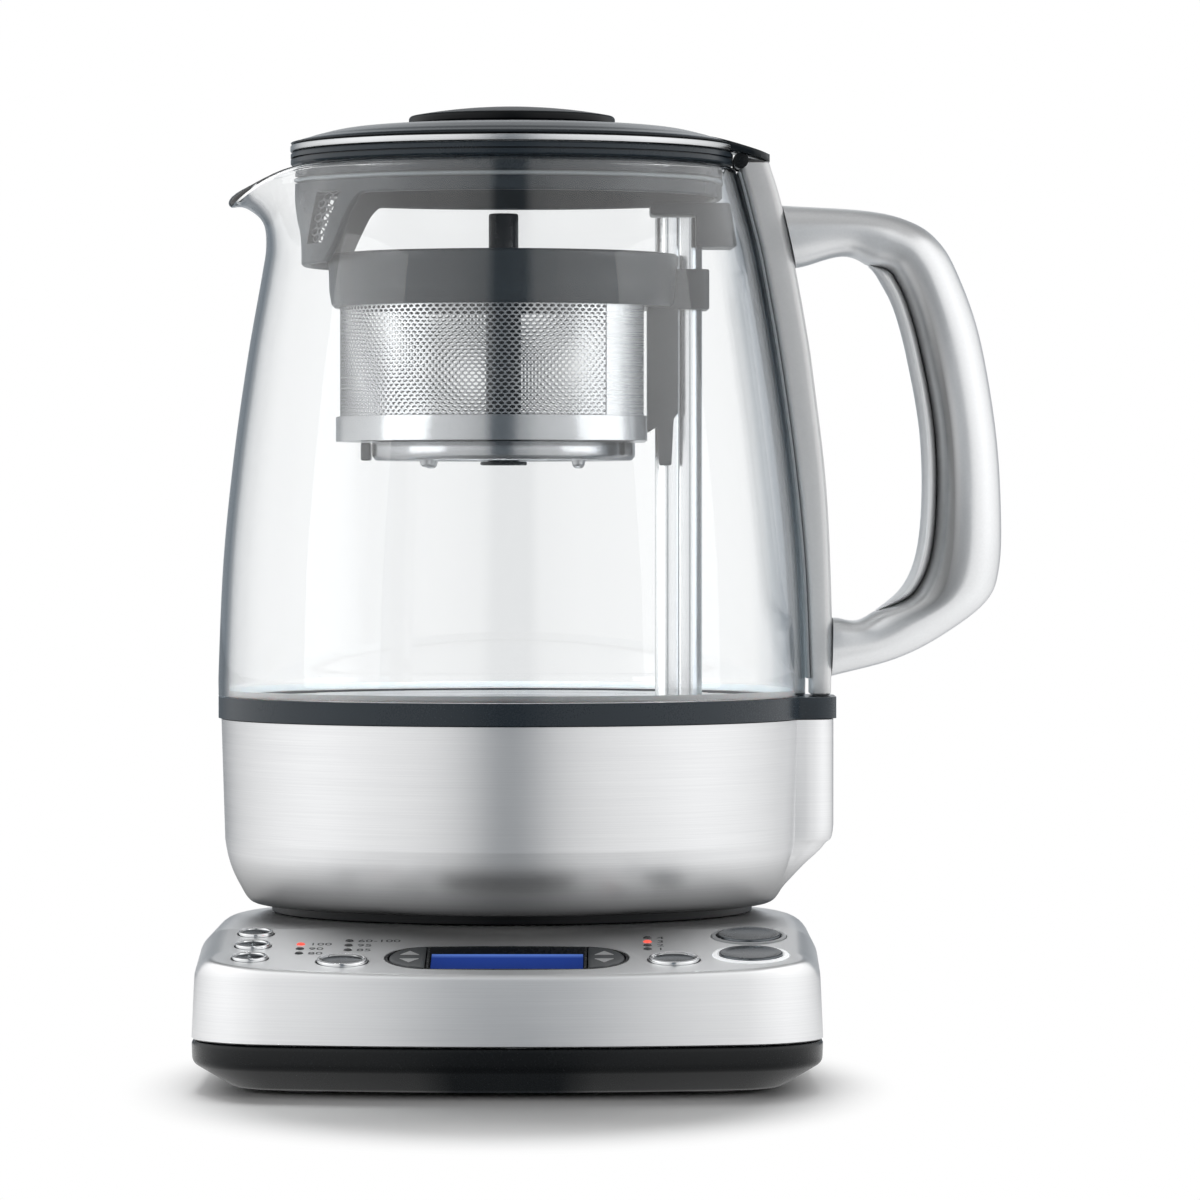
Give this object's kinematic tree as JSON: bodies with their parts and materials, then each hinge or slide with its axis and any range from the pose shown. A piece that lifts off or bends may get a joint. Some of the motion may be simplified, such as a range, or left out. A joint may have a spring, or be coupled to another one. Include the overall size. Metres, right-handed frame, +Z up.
{
  "type": "automatic tea maker",
  "caption": "Electric tea maker: glass jug with a tea basket that rides on a guide post, on a power base with a sloped control panel.",
  "frame": {"origin": "on the jug's axis, in the plane that the base's rubber feet stand on; the underside of the lower housing lies 1 mm above it", "axes": "+X towards the handle, -X towards the spout, -Y towards the control panel, +Z up"},
  "size_m": [0.2162, 0.2038, 0.2613],
  "materials": {
    "brushed_steel": "fine vertical and circular brushing",
    "satin_metal": "satin",
    "chrome": "polished",
    "slate_plastic": "fine satin moulding",
    "black_plastic": "satin",
    "dark_cap": "satin, slightly metallic",
    "display": "lit blue display",
    "window": "clear",
    "clear_glass": "clear borosilicate",
    "light_guide": "translucent",
    "light_ring": "translucent white",
    "board": "lacquered board",
    "silicone": "soft translucent",
    "rubber": "matte",
    "dark_metal": "plain metal"
  },
  "bodies": {
    "base": {"base_lower_housing": "black_plastic", "base_shell": "brushed_steel", "foot_front_left": "rubber", "foot_front_right": "rubber", "foot_rear_left": "rubber", "foot_rear_right": "rubber", "power_connector": "black_plastic", "cord_grommet": "rubber", "control_board": "board", "display_frame": "black_plastic", "display_module": "display", "display_window": "window", "tea_light_guide": "light_guide", "strength_light_guide": "light_guide", "start_light_ring": "light_ring", "water_light_ring": "light_ring"},
    "jug_socket": {"jug_socket": "black_plastic"},
    "jug": {"jug_foot": "black_plastic", "steel_body": "brushed_steel", "waist_ring": "slate_plastic", "floor_plate": "satin_metal", "floor_seal": "silicone", "heater_ring": "dark_metal", "glass_jug": "clear_glass", "spine": "satin_metal", "handle_shell": "satin_metal", "handle_grip": "satin_metal", "guide_post": "satin_metal", "post_top_bracket": "slate_plastic", "lid_rest_pin": "black_plastic", "lift_motor": "dark_metal"},
    "lift_screw": {"lift_screw": "satin_metal"},
    "magnet_carriage": {"magnet_carriage": "black_plastic"},
    "lid": {"lid_cover": "slate_plastic", "lid_trim_ring": "chrome", "lid_skirt": "slate_plastic", "lid_seal": "silicone", "lid_knob": "black_plastic"},
    "basket": {"basket_drum": "brushed_steel", "basket_hoop": "brushed_steel", "basket_pan": "brushed_steel", "basket_collar": "slate_plastic", "basket_magnet": "dark_metal", "basket_stem": "black_plastic", "basket_latch": "slate_plastic"},
    "basket_lid": {"basket_lid": "brushed_steel"},
    "option_button_lower": {"option_button_lower": "chrome"},
    "option_button_middle": {"option_button_middle": "chrome"},
    "option_button_upper": {"option_button_upper": "chrome"},
    "tea_type_button": {"tea_type_button": "chrome"},
    "strength_button": {"strength_button": "chrome"},
    "start_button": {"start_button": "dark_cap"},
    "water_button": {"water_button": "dark_cap"},
    "rocker_left": {"rocker_left": "dark_cap"},
    "rocker_right": {"rocker_right": "dark_cap"}
  },
  "joints": [
    {"name": "jug_lift", "type": "slide", "parent": "base", "child": "jug_socket", "axis": [0, 0, 1], "range_m": [0, 0.06]},
    {"name": "jug_turn", "type": "hinge", "parent": "jug_socket", "child": "jug", "pos_m": [0, 0, 0.05], "axis": [0, 0, 1], "continuous": true},
    {"name": "lid_lift", "type": "slide", "parent": "jug", "child": "lid", "axis": [0, 0, 1], "range_m": [0, 0.06]},
    {"name": "basket_lift", "type": "slide", "parent": "jug", "child": "basket", "axis": [0, 0, 1], "range_m": [-0.058, 0]},
    {"name": "basket_lid_lift", "type": "slide", "parent": "basket", "child": "basket_lid", "axis": [0, 0, 1], "range_m": [0, 0.012]},
    {"name": "carriage_lift", "type": "slide", "parent": "jug", "child": "magnet_carriage", "axis": [0, 0, 1], "range_m": [-0.059, 0.001]},
    {"name": "screw_turn", "type": "hinge", "parent": "jug", "child": "lift_screw", "pos_m": [0.0456, 0, 0.15], "axis": [0, 0, 1], "range_deg": [-2700, 90]},
    {"name": "option_button_lower_press", "type": "slide", "parent": "base", "child": "option_button_lower", "axis": [0, 0.1478, -0.989], "range_m": [0, 0.0008], "stiffness_N_per_m": 400, "springref_m": -0.0008},
    {"name": "option_button_middle_press", "type": "slide", "parent": "base", "child": "option_button_middle", "axis": [0, 0.1478, -0.989], "range_m": [0, 0.0008], "stiffness_N_per_m": 400, "springref_m": -0.0008},
    {"name": "option_button_upper_press", "type": "slide", "parent": "base", "child": "option_button_upper", "axis": [0, 0.1478, -0.989], "range_m": [0, 0.0008], "stiffness_N_per_m": 400, "springref_m": -0.0008},
    {"name": "tea_type_button_press", "type": "slide", "parent": "base", "child": "tea_type_button", "axis": [0, 0.1478, -0.989], "range_m": [0, 0.0008], "stiffness_N_per_m": 400, "springref_m": -0.0008},
    {"name": "strength_button_press", "type": "slide", "parent": "base", "child": "strength_button", "axis": [0, 0.1478, -0.989], "range_m": [0, 0.0008], "stiffness_N_per_m": 400, "springref_m": -0.0008},
    {"name": "start_button_press", "type": "slide", "parent": "base", "child": "start_button", "axis": [0, 0.1478, -0.989], "range_m": [0, 0.0008], "stiffness_N_per_m": 400, "springref_m": -0.0008},
    {"name": "water_button_press", "type": "slide", "parent": "base", "child": "water_button", "axis": [0, 0.1478, -0.989], "range_m": [0, 0.0008], "stiffness_N_per_m": 400, "springref_m": -0.0008},
    {"name": "rocker_left_tilt", "type": "hinge", "parent": "base", "child": "rocker_left", "pos_m": [-0.0257, -0.09765, 0.0311], "axis": [1, 0, 0], "range_deg": [-2.5, 2.5], "stiffness_Nm_per_rad": 0.3},
    {"name": "rocker_right_tilt", "type": "hinge", "parent": "base", "child": "rocker_right", "pos_m": [0.0257, -0.09765, 0.0311], "axis": [1, 0, 0], "range_deg": [-2.5, 2.5], "stiffness_Nm_per_rad": 0.3}
  ],
  "couplings": [
    {"joint": "carriage_lift", "follows": "basket_lift", "ratio": 1},
    {"joint": "screw_turn", "follows": "basket_lift", "rad_per_m": 785.4}
  ]
}
